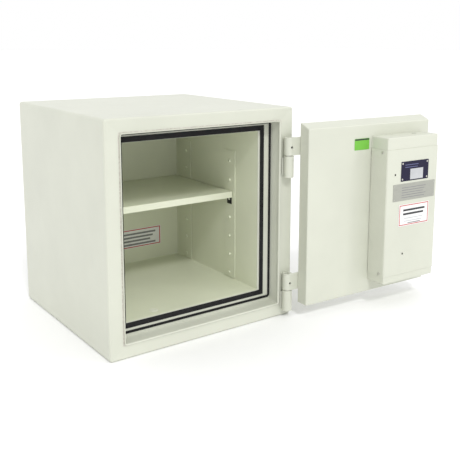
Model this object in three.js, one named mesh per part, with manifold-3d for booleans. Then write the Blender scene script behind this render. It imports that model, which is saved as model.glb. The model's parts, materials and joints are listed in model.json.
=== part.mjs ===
// A fire-resistant document cabinet: a double-walled steel box with an insulating fill, a thick inset
// door on two barrel hinges, a lock case with three round bolts on the door's inner face, two seals in
// the door rebate, and one adjustable shelf on pressed strips. Millimetres, +Z up, the front faces -Y.
// The row's origin is the centre of the underside. Inside the cabinet group, X runs from the left side,
// Y back from the front face and Z up from the floor. The door's pieces are written in the same
// coordinates, as they lie with the door closed, and the door group then swings them open.
import * as THREE from "three";
import { mergeVertices } from "three/addons/utils/BufferGeometryUtils.js";
import Module from "manifold-3d";

const wasm = await Module();
wasm.setup();

// ---- driving dimensions ----
const WIDTH = 570;
const DEPTH = 560;
const HEIGHT = 600;
const GAP = 0.3; // between pieces that touch
const SHEET = 3; // outer steel
const THIN = 2; // liner steel
const CORNER = 6; // radius of the casing's long edges

// door opening in the front face, and the plane that the door's inner face closes against
const OPENING = { x0: 45, x1: 525, z0: 38, z1: 560 };
const REBATE_DEPTH = 41.5;
const SEAL_THICK = 2.2;
const OUTER_SEAL = { x0: 46, x1: 524.6, z0: 47, z1: 559.4 };
const OUTER_SEAL_WIDTH = 6.5;
const OUTER_SEAL_RADIUS = 9;
const INNER_SEAL = { x0: 54.4, x1: 500.5, z0: 60.8, z1: 549 };
const INNER_SEAL_HOLE = { x0: 65.4, x1: 488, z0: 74.6, z1: 535 };

// compartment
const ROOM = { x0: 66, x1: 482, z0: 75.6, z1: 534, y1: 482 };

// shelf strips: pressed lugs at one pitch, in a front and a rear column on each side wall
const STRIP_WIDTH = 52;
const STRIP_BOTTOM = 79;
const STRIP_TOP = 464;
const FRONT_COLUMN_Y = 176;
const REAR_COLUMN_Y = 418;
const LUG_FIRST = 94;
const LUG_PITCH = 56.3;
const LUG_COUNT = 7;
const LUG_RADIUS = 4;
const LUG_HEIGHT = 4;
const SHELF_LUG = 4; // the lug, counted from 0, that the clips hang on
const CLIP = { half: 11, thick: 1.6, ledge: 13, below: 15 };

// shelf: a folded tray turned over
const SHELF_TOP = 343.7;
const SHELF_FOLD = 18.2;
const SHELF_FRONT = 160;
const SHELF_BACK = 480;
const SHELF_SIDE_GAP = 1;
const SHELF_RETURN = 16;

// hinges
const HINGE = { x: 545.5, y: -15 };
const OPEN_ANGLE = THREE.MathUtils.degToRad(177.3);
const BARREL_RADIUS = 14;
const BORE_RADIUS = 7.3;
const PIN_RADIUS = 7;
const WASHER_THICK = 1.7;
const HINGES = {
  upper: { bodyZ0: 406, split: 466, doorZ1: 518.5, grubZ: 491 },
  lower: { bodyZ0: 19, split: 79, doorZ1: 128.5, grubZ: 102 },
};
const LEAF_THICK = 8;
const LEAF_END = 480; // how far along the door's outer face a leaf runs
const PIN_INSET = 4; // pin end above the bottom of the body barrel
const PIN_SHORT = 10.5; // pin end below the top of the door barrel
const GRUB = { radius: 3, length: 4.5 };
const WEB = { half: 9, near: 5, inset: 6 }; // block that welds a body barrel to the cabinet's front

// door slab, closed
const DOOR = { x0: 48.5, x1: 519, y1: 39, z0: 41, z1: 557 };
const DOOR_PLATE = 4;
const FREE_EDGE_TAPER = 2.5; // lets the free edge swing past the frame
const TOP_BEVEL = { start: 6, drop: 13 };
const DOOR_ROOM = { x0: 52, x1: 516, z0: 44, z1: 541 };
const PAN_THICK = 2;
const PAN_FLANGE = 4; // how far the inner pan's edge folds forward, onto the outer skin's rim

// lock case on the door's inner face
const CASE = { x0: 82.5, x1: 286.5, y1: 105.5, z0: 77.8, z1: 510 };
const COVER_THICK = 1.5;
const COVER = { z0: 100, z1: 475 };
const CASE_WINDOW = { x0: 94, x1: 275, z0: 114, z1: 462 };
const COVER_HOLES = [
  [255, 402],
  [214, 162],
];
const COVER_HOLE_RADIUS = 3.2;
const TOP_SLOT = { x: 140, y: 62, length: 18, width: 12 };
const COVER_SCREWS = { y: 87, lower: 108, upper: 467 };
const SCREW = { head: 4.2, headThick: 1.6, shank: 2, length: 7 };

// boltwork
const BOLT_RADIUS = 10;
const BOLT_Y = 76;
const BOLT_Z = { lower: 130, middle: 285, upper: 440 };
const BOLT_THROW = 32;
const BOLT_HOLE = 11.5;
const SOCKET_END = 46; // how deep the bolt sockets run into the left wall
const KEEPER = { z0: 100, z1: 470, width: 44 };
const BAR = { x0: 118, x1: 124, y0: 52, y1: 92, z0: 112, z1: 458 };
const GUIDE_Z = { lower: 165, upper: 445 };
const GUIDE = { x0: 129, x1: 141, half: 14, y1: 88 };
const GUIDE_ARM = { x1: 178, y0: 74, y1: 78, half: 8 };
const SPINDLE = { x: 190, z: 262, radius: 6, y0: -24, y1: 77 };
const CRANK_RADIUS = BOLT_THROW / Math.SQRT2; // a quarter turn about the vertical gives the throw
const CRANK_PIN = 4;
const CRANK = { y0: 70, y1: 76, radius: 30 };
const DRIVE_ARM = { x1: 219, y0: 79, y1: 84, z0: 266, z1: 298 };
const DRIVE_SLOT_HALF = 5;
const DRIVE_SLOT_SILL = 7;

// key lock
const LOCK = { x0: 150, x1: 210, y0: 43, y1: 68, z0: 328, z1: 402 };
const KEYHOLE = { x: 180, z: 350, radius: 7 };
const KEYWAY = { half: 1.5, y1: 55, z0: 344.5, z1: 351 };
const KEY_BARREL = 25; // length
const LOCK_BOLT = { half: 7, y0: 50, y1: 62, z0: 368, z1: 405 };
const LOCK_THROW = 10;
const NOTCH_SLACK = 1.5;
const LOCK_ARM = { x1: 226, y0: 52, y1: 60, z0: 408, z1: 425 };
const HARD_PLATE = { x0: 136, x1: 244, z0: 222, z1: 418, thick: 3 };

// outside furniture
const HANDLE = { rose: 26, roseThick: 5, hub: 14, hubFront: -40, length: 118, thick: 12, width: 20 };
const ESCUTCHEON = { radius: 15, thick: 3 };
const KEY_COVER = { pivotZ: 374, radius: 12, top: 6, thick: 2.4, rivet: 3.5 };

const ANCHOR = { x: 164.5, y: 77, cap: 12.5, capThick: 1.2, plug: 14, hole: 8, sleeve: 11 };
const NOTICE = { x0: 218, x1: 418, z0: 122, z1: 184 };
const PLATE_THICK = 0.8;
const PLATES = {
  rating_plate: { x0: 120.5, x1: 233, z0: 380, z1: 438 },
  maker_plate: { x0: 91, x1: 262, z0: 323, z1: 373 },
  service_label: { x0: 112, x1: 236, z0: 246, z1: 311 },
};
const TEST_LABEL = { x0: 297, x1: 353, z0: 472, z1: 505 };

// ---- materials ----
const paint = (color, roughness = 0.45, metalness = 0.05) =>
  new THREE.MeshStandardMaterial({ color, roughness, metalness });
const MATERIAL = {
  cream: paint(0xe6e8d8),
  steel: paint(0xa9acae, 0.32, 0.95),
  zinc: paint(0xc7c9c6, 0.4, 0.85),
  dark: paint(0x2c2d2f, 0.5, 0.4),
  rubber: paint(0x33343a, 0.85, 0),
  fill: paint(0xb9b4a6, 0.95, 0),
  navy: paint(0x1c1f4a, 0.35, 0.2),
  aluminium: paint(0xb7b9b0, 0.38, 0.8),
  white: paint(0xeeeeea, 0.6, 0),
  green: paint(0x53c23a, 0.6, 0),
};

// ---- geometry helpers ----
function box(x0, x1, y0, y1, z0, z1) {
  const g = new THREE.BoxGeometry(x1 - x0, y1 - y0, z1 - z0);
  return g.translate((x0 + x1) / 2, (y0 + y1) / 2, (z0 + z1) / 2);
}

// A cylinder from p along one axis, "x", "y" or "z", for a signed length.
function rod(axis, [x, y, z], radius, length, sides = 28) {
  const g = new THREE.CylinderGeometry(radius, radius, Math.abs(length), sides);
  if (axis === "x") g.rotateZ(Math.PI / 2).translate(length / 2, 0, 0);
  if (axis === "y") g.translate(0, length / 2, 0);
  if (axis === "z") g.rotateX(Math.PI / 2).translate(0, 0, length / 2);
  return g.translate(x, y, z);
}

// An XZ rectangle with rounded corners.
function rectangle({ x0, x1, z0, z1 }, r = 0) {
  const s = new THREE.Shape();
  if (!r) {
    s.moveTo(x0, z0).lineTo(x1, z0).lineTo(x1, z1).lineTo(x0, z1).closePath();
    return s;
  }
  s.absarc(x0 + r, z0 + r, r, Math.PI, 1.5 * Math.PI);
  s.absarc(x1 - r, z0 + r, r, 1.5 * Math.PI, 2 * Math.PI);
  s.absarc(x1 - r, z1 - r, r, 0, 0.5 * Math.PI);
  s.absarc(x0 + r, z1 - r, r, 0.5 * Math.PI, Math.PI);
  return s.closePath();
}

// An XZ shape extruded back from y0 to y1.
function plate(shape, y0, y1, curveSegments = 6) {
  const g = new THREE.ExtrudeGeometry(shape, {
    depth: y1 - y0,
    bevelEnabled: false,
    curveSegments,
  });
  return g.rotateX(Math.PI / 2).translate(0, y1, 0);
}

const grown = ({ x0, x1, z0, z1 }, by) => ({ x0: x0 - by, x1: x1 + by, z0: z0 - by, z1: z1 + by });

function solid(geometry) {
  const g = geometry.clone().deleteAttribute("normal").deleteAttribute("uv");
  const merged = mergeVertices(g, 1e-4);
  return new wasm.Manifold(
    new wasm.Mesh({
      numProp: 3,
      vertProperties: merged.attributes.position.array,
      triVerts: new Uint32Array(merged.index.array),
    }),
  );
}

function geometry(manifold) {
  const mesh = manifold.getMesh();
  const g = new THREE.BufferGeometry();
  g.setAttribute("position", new THREE.BufferAttribute(mesh.vertProperties, 3));
  g.setIndex(new THREE.BufferAttribute(mesh.triVerts, 1));
  g.computeVertexNormals();
  return g;
}

const cut = (from, ...tools) =>
  geometry(tools.reduce((left, tool) => left.subtract(solid(tool)), solid(from)));
const join = (...pieces) => geometry(pieces.map(solid).reduce((sum, piece) => sum.add(piece)));

const cabinet = new THREE.Group();
cabinet.position.set(-WIDTH / 2, -DEPTH / 2, 0);
const swing = new THREE.Group(); // turns about the hinge axis
swing.position.set(HINGE.x, HINGE.y, 0);
swing.rotation.z = OPEN_ANGLE;
const door = new THREE.Group(); // back to the closed door's coordinates
door.position.set(-HINGE.x, -HINGE.y, 0);
swing.add(door);
cabinet.add(swing);

function add(parent, name, shape, material) {
  const mesh = new THREE.Mesh(shape, MATERIAL[material]);
  mesh.name = name;
  parent.add(mesh);
}

// ---- cabinet: casing, fill, liner and rebate ----
const boltSockets = (radius, x0, x1) =>
  Object.values(BOLT_Z).map((z) => rod("x", [x0, BOLT_Y, z], radius, x1 - x0));

function outerCasing() {
  const shell = cut(
    plate(rectangle({ x0: 0, x1: WIDTH, z0: 0, z1: HEIGHT }, CORNER), 0, DEPTH),
    box(SHEET, WIDTH - SHEET, SHEET, DEPTH + 1, SHEET, HEIGHT - SHEET),
    plate(rectangle(OPENING), -1, SHEET + 1),
    rod("z", [ANCHOR.x, ANCHOR.y, -1], ANCHOR.hole, SHEET + 2),
  );
  const fold = cut(
    plate(rectangle(grown(OPENING, SHEET)), 0, REBATE_DEPTH),
    plate(rectangle(OPENING), -1, REBATE_DEPTH + 1),
  );
  add(cabinet, "outer_casing", join(shell, fold), "cream");
}

function rearPanel() {
  const edge = SHEET + GAP;
  add(
    cabinet,
    "rear_panel",
    box(edge, WIDTH - edge, DEPTH - SHEET - GAP, DEPTH - GAP, edge, HEIGHT - edge),
    "cream",
  );
}

const FRAME_BACK = REBATE_DEPTH + GAP + SHEET;

function rebateFrame() {
  const shape = cut(
    plate(rectangle(grown(OPENING, SHEET)), REBATE_DEPTH + GAP, FRAME_BACK),
    plate(rectangle(ROOM), REBATE_DEPTH, FRAME_BACK + 1),
  );
  add(cabinet, "rebate_frame", shape, "cream");
}

function seals() {
  const y0 = REBATE_DEPTH - SEAL_THICK;
  const outer = cut(
    plate(rectangle(OUTER_SEAL, OUTER_SEAL_RADIUS), y0, REBATE_DEPTH),
    plate(rectangle(grown(OUTER_SEAL, -OUTER_SEAL_WIDTH), 1), y0 - 1, REBATE_DEPTH + 1),
  );
  const inner = cut(
    plate(rectangle(INNER_SEAL), y0, REBATE_DEPTH),
    plate(rectangle(INNER_SEAL_HOLE), y0 - 1, REBATE_DEPTH + 1),
  );
  add(cabinet, "outer_seal", outer, "rubber");
  add(cabinet, "inner_seal", inner, "rubber");
}

function innerLiner() {
  const shape = cut(
    plate(rectangle(grown(ROOM, THIN)), FRAME_BACK + GAP, ROOM.y1 + THIN),
    plate(rectangle(ROOM), FRAME_BACK, ROOM.y1),
    rod("z", [ANCHOR.x, ANCHOR.y, ROOM.z0 - THIN - 1], ANCHOR.hole, THIN + 2),
    ...boltSockets(BOLT_HOLE, ROOM.x0 - THIN - 1, ROOM.x0 + 1),
  );
  add(cabinet, "inner_liner", shape, "cream");
}

// The strike plate behind the liner's left wall, or with grow its pocket in the fill.
function keeperPlate(grow = 0) {
  const x1 = ROOM.x0 - THIN - GAP;
  const half = KEEPER.width / 2 + grow;
  const [z0, z1] = [KEEPER.z0 - grow, KEEPER.z1 + grow];
  return box(x1 - SHEET - grow, x1 + grow, BOLT_Y - half, BOLT_Y + half, z0, z1);
}

function boltKeeper() {
  const sockets = boltSockets(BOLT_HOLE, SOCKET_END, ROOM.x0);
  add(cabinet, "bolt_keeper", cut(keeperPlate(), ...sockets), "steel");
}

function wallInsulation() {
  const edge = SHEET + GAP;
  const shape = cut(
    box(edge, WIDTH - edge, edge, DEPTH - SHEET - 2 * GAP, edge, HEIGHT - edge),
    plate(rectangle(grown(OPENING, SHEET + GAP)), 0, FRAME_BACK + GAP),
    plate(rectangle(grown(ROOM, THIN + GAP)), FRAME_BACK, ROOM.y1 + THIN + GAP),
    rod("z", [ANCHOR.x, ANCHOR.y, 0], ANCHOR.sleeve + GAP, ROOM.z0),
    ...boltSockets(BOLT_HOLE, SOCKET_END, ROOM.x0),
    keeperPlate(GAP),
  );
  add(cabinet, "wall_insulation", shape, "fill");
}

function anchor() {
  const sleeve = cut(
    rod("z", [ANCHOR.x, ANCHOR.y, SHEET + GAP], ANCHOR.sleeve, ROOM.z0 - THIN - SHEET - 2 * GAP),
    rod("z", [ANCHOR.x, ANCHOR.y, 0], ANCHOR.hole, ROOM.z0),
  );
  const cap = join(
    rod("z", [ANCHOR.x, ANCHOR.y, ROOM.z0 + GAP], ANCHOR.cap, ANCHOR.capThick),
    rod("z", [ANCHOR.x, ANCHOR.y, ROOM.z0 + 1], ANCHOR.hole - GAP, -ANCHOR.plug),
  );
  add(cabinet, "anchor_sleeve", sleeve, "steel");
  add(cabinet, "anchor_hole_cap", cap, "cream");
}

// ---- compartment fittings ----
const lugZ = (i) => LUG_FIRST + i * LUG_PITCH;
const SIDES = {
  left: { wall: ROOM.x0, inward: 1 },
  right: { wall: ROOM.x1, inward: -1 },
};
const COLUMNS = { front: FRONT_COLUMN_Y, rear: REAR_COLUMN_Y };

// A box that reaches from a side wall into the room, its ends measured from the wall.
function fromWall({ wall, inward }, near, far, y0, y1, z0, z1) {
  const ends = [wall + inward * near, wall + inward * far];
  return box(Math.min(...ends), Math.max(...ends), y0, y1, z0, z1);
}

function shelfStrip(side, y) {
  const face = GAP + THIN;
  const half = STRIP_WIDTH / 2;
  const lugs = Array.from({ length: LUG_COUNT }, (_, i) =>
    rod("x", [side.wall + side.inward, y, lugZ(i)], LUG_RADIUS, side.inward * (face + LUG_HEIGHT - 1), 14),
  );
  return join(fromWall(side, GAP, face, y - half, y + half, STRIP_BOTTOM, STRIP_TOP), ...lugs);
}

// An angle that hangs on one lug and carries the shelf's edge on its ledge.
function shelfClip(side, y) {
  const back = GAP + THIN + GAP;
  const top = SHELF_TOP - SHELF_FOLD - GAP;
  const z = lugZ(SHELF_LUG);
  return cut(
    join(
      fromWall(side, back, back + CLIP.thick, y - CLIP.half, y + CLIP.half, z - CLIP.below, top),
      fromWall(side, back, back + CLIP.ledge, y - CLIP.half, y + CLIP.half, top - CLIP.thick, top),
    ),
    rod("x", [side.wall, y, z], LUG_RADIUS + GAP, side.inward * 20, 14),
  );
}

function shelf() {
  const inset = GAP + THIN + SHELF_SIDE_GAP;
  const x0 = ROOM.x0 + inset;
  const x1 = ROOM.x1 - inset;
  const z0 = SHELF_TOP - SHELF_FOLD;
  const tray = cut(
    box(x0, x1, SHELF_FRONT, SHELF_BACK, z0, SHELF_TOP),
    box(x0 + THIN, x1 - THIN, SHELF_FRONT + THIN, SHELF_BACK - THIN, z0 - 1, SHELF_TOP - THIN),
  );
  const lip = box(x0, x1, SHELF_FRONT, SHELF_FRONT + SHELF_RETURN, z0, z0 + THIN);
  add(cabinet, "shelf", join(tray, lip), "cream");
}

function fittings() {
  for (const [sideName, side] of Object.entries(SIDES))
    for (const [columnName, y] of Object.entries(COLUMNS)) {
      add(cabinet, `shelf_strip_${columnName}_${sideName}`, shelfStrip(side, y), "cream");
      add(cabinet, `shelf_clip_${columnName}_${sideName}`, shelfClip(side, y), "dark");
    }
  shelf();
  add(
    cabinet,
    "notice_plate",
    plate(rectangle(NOTICE, 2), ROOM.y1 - GAP - PLATE_THICK, ROOM.y1 - GAP),
    "white",
  );
}

// ---- hinges ----
function hinge(name, { bodyZ0, split, doorZ1, grubZ }) {
  const { x, y } = HINGE;
  const doorZ0 = split + WASHER_THICK + 2 * GAP;
  const bodyBarrel = cut(
    join(
      rod("z", [x, y, bodyZ0], BARREL_RADIUS, split - bodyZ0, 36),
      box(x - WEB.half, x + WEB.half, y + WEB.near, -GAP, bodyZ0 + WEB.inset, split - WEB.inset),
    ),
    rod("z", [x, y, bodyZ0 - 1], BORE_RADIUS, split - bodyZ0 + 2),
  );
  const leaf = cut(
    join(
      rod("z", [x, y, doorZ0], BARREL_RADIUS, doorZ1 - doorZ0, 36),
      box(LEAF_END, x, -GAP - LEAF_THICK, -GAP, doorZ0, doorZ1),
    ),
    rod("z", [x, y, doorZ0 - 1], BORE_RADIUS, doorZ1 - doorZ0 + 2),
    rod("y", [x, y, grubZ], GRUB.radius + GAP, BARREL_RADIUS + 2, 12),
  );
  const washer = cut(
    rod("z", [x, y, split + GAP], BARREL_RADIUS - 1.5, WASHER_THICK),
    rod("z", [x, y, split], BORE_RADIUS, WASHER_THICK + 1),
  );
  const pinZ0 = bodyZ0 + PIN_INSET;
  const pin = rod("z", [x, y, pinZ0], PIN_RADIUS, doorZ1 - PIN_SHORT - pinZ0);
  const grub = rod("y", [x, y + PIN_RADIUS + GAP, grubZ], GRUB.radius, GRUB.length, 12);
  add(cabinet, `hinge_barrel_${name}`, bodyBarrel, "cream");
  add(cabinet, `hinge_pin_${name}`, pin, "steel");
  add(cabinet, `hinge_washer_${name}`, washer, "zinc");
  add(door, `hinge_leaf_${name}`, leaf, "cream");
  add(door, `hinge_grub_screw_${name}`, grub, "dark");
}

// ---- door slab ----
// Holes through the door for the handle's spindle and the key.
const doorHoles = () => [
  rod("y", [SPINDLE.x, -1, SPINDLE.z], SPINDLE.radius + GAP, DOOR.y1 + 12),
  rod("y", [KEYHOLE.x, -1, KEYHOLE.z], KEYHOLE.radius + GAP, DOOR.y1 + 12),
];

// The whole slab, solid: its free edge tapers, and its top slopes down behind the front edge.
function doorSlab() {
  const side = new THREE.Shape();
  side.moveTo(0, DOOR.z0).lineTo(DOOR.y1, DOOR.z0).lineTo(DOOR.y1, DOOR.z1 - TOP_BEVEL.drop);
  side.lineTo(TOP_BEVEL.start, DOOR.z1).lineTo(0, DOOR.z1).closePath();
  const slab = new THREE.ExtrudeGeometry(side, { depth: DOOR.x1 - DOOR.x0, bevelEnabled: false });
  // the side profile is drawn as (Y, Z) and extruded along X
  slab.rotateX(Math.PI / 2).rotateZ(Math.PI / 2).translate(DOOR.x0, 0, 0);
  const wedge = new THREE.Shape();
  wedge.moveTo(DOOR.x0, 0).lineTo(DOOR.x0 + FREE_EDGE_TAPER, DOOR.y1);
  wedge.lineTo(DOOR.x0, DOOR.y1 + 1).lineTo(DOOR.x0 - 1, DOOR.y1 + 1).lineTo(DOOR.x0 - 1, 0).closePath();
  const freeEdge = new THREE.ExtrudeGeometry(wedge, { depth: DOOR.z1, bevelEnabled: false });
  return cut(slab, freeEdge);
}

// All of the door's slab between two depths.
const slabSlice = (y0, y1) =>
  box(DOOR.x0 - 1, DOOR.x1 + 1, y0, y1, DOOR.z0 - 1, DOOR.z1 + 1);

// The room inside the slab between two depths.
const slabRoom = (y0, y1) => box(DOOR_ROOM.x0, DOOR_ROOM.x1, y0, y1, DOOR_ROOM.z0, DOOR_ROOM.z1);

function doorShell() {
  const seam = DOOR.y1 - PAN_FLANGE;
  const skinTools = [slabSlice(seam, DOOR.y1 + 1), slabRoom(DOOR_PLATE, seam + 1)];
  const panTools = [slabSlice(-1, seam + GAP), slabRoom(seam, DOOR.y1 - PAN_THICK)];
  add(door, "door_outer_skin", cut(doorSlab(), ...skinTools, ...doorHoles()), "cream");
  add(door, "door_inner_pan", cut(doorSlab(), ...panTools, ...doorHoles()), "cream");
}

function doorFill() {
  const inside = grown(DOOR_ROOM, -GAP);
  const back = DOOR.y1 - PAN_THICK - GAP;
  const fill = cut(plate(rectangle(inside), DOOR_PLATE + GAP, back), ...doorHoles());
  add(door, "door_insulation", fill, "fill");
}

// ---- lock case ----
const screwAt = (side, z) => ({
  x: side === "free" ? CASE.x0 - GAP - COVER_THICK : CASE.x1 + GAP + COVER_THICK,
  outward: side === "free" ? -1 : 1,
  z,
});
const SCREW_PLACES = ["free", "hinge"].flatMap((side) =>
  ["lower", "upper"].map((end) => [`${side}_${end}`, screwAt(side, COVER_SCREWS[end])]),
);
const screwHoles = () =>
  SCREW_PLACES.map(([, { x, outward, z }]) =>
    rod("x", [x + outward, COVER_SCREWS.y, z], SCREW.shank + GAP, -outward * 10, 12),
  );

function lockCaseBase() {
  const y0 = DOOR.y1 + GAP;
  const slotX0 = TOP_SLOT.x - TOP_SLOT.length / 2;
  const slotX1 = TOP_SLOT.x + TOP_SLOT.length / 2;
  const slotY0 = TOP_SLOT.y - TOP_SLOT.width / 2;
  const shape = cut(
    plate(rectangle(CASE), y0, CASE.y1),
    plate(rectangle(grown(CASE, -SHEET)), y0 - 1, CASE.y1 - SHEET),
    plate(rectangle(CASE_WINDOW), CASE.y1 - SHEET - 1, CASE.y1 + 1),
    box(slotX0, slotX1, slotY0, slotY0 + TOP_SLOT.width, CASE.z1 - SHEET - 1, CASE.z1 + 1),
    ...boltSockets(BOLT_RADIUS + 2 * GAP, CASE.x0 - 1, CASE.x0 + SHEET + 1),
    ...screwHoles(),
  );
  add(door, "lock_case_base", shape, "cream");
}

function lockCaseCover() {
  const inner = { ...grown(CASE, GAP), ...COVER };
  const outer = { ...grown(CASE, GAP + COVER_THICK), ...COVER };
  const y0 = DOOR.y1 + 2;
  const through = { ...inner, z0: COVER.z0 - 1, z1: COVER.z1 + 1 };
  const shape = cut(
    plate(rectangle(outer), y0, CASE.y1 + GAP + COVER_THICK),
    plate(rectangle(through), y0 - 1, CASE.y1 + GAP),
    ...COVER_HOLES.map(([x, z]) => rod("y", [x, CASE.y1, z], COVER_HOLE_RADIUS, 4, 14)),
    ...boltSockets(BOLT_RADIUS + 2 * GAP, outer.x0 - 1, inner.x0 + 1),
    ...screwHoles(),
  );
  add(door, "lock_case_cover", shape, "cream");
}

function coverScrews() {
  for (const [place, { x, outward, z }] of SCREW_PLACES)
    add(
      door,
      `cover_screw_${place}`,
      join(
        rod("x", [x + outward * GAP, COVER_SCREWS.y, z], SCREW.head, outward * SCREW.headThick, 16),
        rod("x", [x + outward * 1, COVER_SCREWS.y, z], SCREW.shank, -outward * SCREW.length, 12),
      ),
      "zinc",
    );
}

function labels() {
  const front = CASE.y1 + COVER_THICK + 2 * GAP;
  const look = { rating_plate: "navy", maker_plate: "aluminium", service_label: "white" };
  for (const [name, place] of Object.entries(PLATES))
    add(door, name, plate(rectangle(place, 1.5), front, front + PLATE_THICK, 2), look[name]);
  const pan = DOOR.y1 + GAP;
  add(door, "test_label", plate(rectangle(TEST_LABEL, 1.5), pan, pan + PLATE_THICK, 2), "green");
}

// ---- boltwork, drawn with the bolts back ----
function boltwork() {
  const tip = CASE.x0 + GAP;
  for (const [place, z] of Object.entries(BOLT_Z))
    add(door, `bolt_${place}`, rod("x", [tip, BOLT_Y, z], BOLT_RADIUS, BAR.x0 - GAP - tip), "steel");
  const guideArms = Object.values(GUIDE_Z).map((z) =>
    box(BAR.x1 - 1, GUIDE_ARM.x1, GUIDE_ARM.y0, GUIDE_ARM.y1, z - GUIDE_ARM.half, z + GUIDE_ARM.half),
  );
  const driveArm = box(BAR.x1 - 1, DRIVE_ARM.x1, DRIVE_ARM.y0, DRIVE_ARM.y1, DRIVE_ARM.z0, DRIVE_ARM.z1);
  const lockArm = box(BAR.x1 - 1, LOCK_ARM.x1, LOCK_ARM.y0, LOCK_ARM.y1, LOCK_ARM.z0, LOCK_ARM.z1);
  const pinX = SPINDLE.x + CRANK_RADIUS * Math.SQRT1_2;
  const driveSlot = box(
    pinX - DRIVE_SLOT_HALF,
    pinX + DRIVE_SLOT_HALF,
    DRIVE_ARM.y0 - 1,
    DRIVE_ARM.y1 + 1,
    DRIVE_ARM.z0 + DRIVE_SLOT_SILL,
    DRIVE_ARM.z1 + 1,
  );
  // one notch for the lock bolt with the bolts back, one with the bolts out
  const notches = [0, BOLT_THROW].map((shift) => {
    const x = KEYHOLE.x + shift;
    const half = LOCK_BOLT.half + NOTCH_SLACK;
    const top = LOCK_BOLT.z1 + LOCK_THROW + NOTCH_SLACK;
    return box(x - half, x + half, LOCK_ARM.y0 - 1, LOCK_ARM.y1 + 1, LOCK_ARM.z0 - 1, top);
  });
  const bar = box(BAR.x0, BAR.x1, BAR.y0, BAR.y1, BAR.z0, BAR.z1);
  add(door, "bolt_bar", cut(join(bar, ...guideArms, driveArm, lockArm), driveSlot, ...notches), "zinc");
  for (const [place, z] of Object.entries(GUIDE_Z)) {
    const block = box(GUIDE.x0, GUIDE.x1, DOOR.y1 + GAP, GUIDE.y1, z - GUIDE.half, z + GUIDE.half);
    const reach = GUIDE_ARM.half + GAP;
    const window = [GUIDE_ARM.y0 - GAP, GUIDE_ARM.y1 + GAP, z - reach, z + reach];
    const guide = cut(block, box(GUIDE.x0 - 1, GUIDE.x1 + 1, ...window));
    add(door, `bolt_bar_guide_${place}`, guide, "zinc");
  }
}

function handleWork() {
  const { x, z } = SPINDLE;
  const offset = CRANK_RADIUS * Math.SQRT1_2;
  const crank = join(
    cut(
      rod("y", [x, CRANK.y0, z], CRANK.radius, CRANK.y1 - CRANK.y0),
      rod("y", [x, CRANK.y0 - 1, z], SPINDLE.radius + GAP, 10),
    ),
    rod("y", [x + offset, CRANK.y1 - 1, z + offset], CRANK_PIN, 11, 16),
  );
  const spindle = rod("y", [x, SPINDLE.y0, z], SPINDLE.radius, SPINDLE.y1 - SPINDLE.y0);
  add(door, "handle_spindle", spindle, "steel");
  add(door, "drive_crank", crank, "zinc");
  const rose = cut(
    rod("y", [x, -GAP, z], HANDLE.rose, -HANDLE.roseThick, 36),
    rod("y", [x, 1, z], SPINDLE.radius + GAP, -8),
  );
  add(door, "handle_rose", rose, "zinc");
  const lever = new THREE.Shape();
  const half = HANDLE.width / 2;
  lever.absarc(x, z, HANDLE.hub, -0.2 * Math.PI, 1.2 * Math.PI);
  lever.absarc(x, z - HANDLE.length, half, Math.PI, 2 * Math.PI);
  lever.closePath();
  const socket = rod("y", [x, HANDLE.hubFront + 8, z], SPINDLE.radius + GAP, 40);
  const hubBack = -HANDLE.roseThick - 1;
  const hub = rod("y", [x, hubBack, z], HANDLE.hub, HANDLE.hubFront + 1 - hubBack, 36);
  const grip = plate(lever, HANDLE.hubFront, HANDLE.hubFront + HANDLE.thick, 12);
  add(door, "handle_lever", cut(join(hub, grip), socket), "steel");
}

function keyLock() {
  const { x, z, radius } = KEYHOLE;
  const bolt = LOCK_BOLT;
  const side = bolt.half + GAP;
  const body = cut(
    box(LOCK.x0, LOCK.x1, LOCK.y0, LOCK.y1, LOCK.z0, LOCK.z1),
    box(x - side, x + side, bolt.y0 - GAP, bolt.y1 + GAP, bolt.z0 - 1, LOCK.z1 + 1),
    rod("y", [x, LOCK.y0 - 1, z], radius + GAP, LOCK.y1 - LOCK.y0 + 2),
  );
  add(door, "key_lock_case", body, "zinc");
  add(door, "lock_bolt", box(x - bolt.half, x + bolt.half, bolt.y0, bolt.y1, bolt.z0, bolt.z1), "steel");
  const way = box(x - KEYWAY.half, x + KEYWAY.half, LOCK.y0 - 4, KEYWAY.y1, KEYWAY.z0, KEYWAY.z1);
  add(door, "key_barrel", cut(rod("y", [x, LOCK.y0 - 2, z], radius, KEY_BARREL), way), "steel");
  const plateY = DOOR.y1 + GAP;
  const hard = cut(
    plate(rectangle(HARD_PLATE), plateY, plateY + HARD_PLATE.thick),
    ...doorHoles(),
  );
  add(door, "hard_plate", hard, "dark");
  const escutcheon = cut(
    rod("y", [x, -GAP, z], ESCUTCHEON.radius, -ESCUTCHEON.thick, 32),
    rod("y", [x, 1, z], radius - 1, -8),
  );
  add(door, "key_escutcheon", escutcheon, "zinc");
  const flap = new THREE.Shape();
  flap.absarc(x, KEY_COVER.pivotZ, KEY_COVER.top, 0, Math.PI);
  flap.absarc(x, z, KEY_COVER.radius, Math.PI, 2 * Math.PI);
  flap.closePath();
  const flapBack = -ESCUTCHEON.thick - 2 * GAP;
  const cover = join(
    plate(flap, flapBack - KEY_COVER.thick, flapBack, 10),
    rod("y", [x, -GAP, KEY_COVER.pivotZ], KEY_COVER.rivet, flapBack - 1, 16),
  );
  add(door, "key_cover", cover, "zinc");
}

outerCasing();
rearPanel();
rebateFrame();
seals();
innerLiner();
wallInsulation();
boltKeeper();
anchor();
fittings();
for (const [name, place] of Object.entries(HINGES)) hinge(name, place);
doorShell();
doorFill();
lockCaseBase();
lockCaseCover();
coverScrews();
labels();
boltwork();
handleWork();
keyLock();

const group = new THREE.Group();
group.add(cabinet);
export default group;
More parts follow.
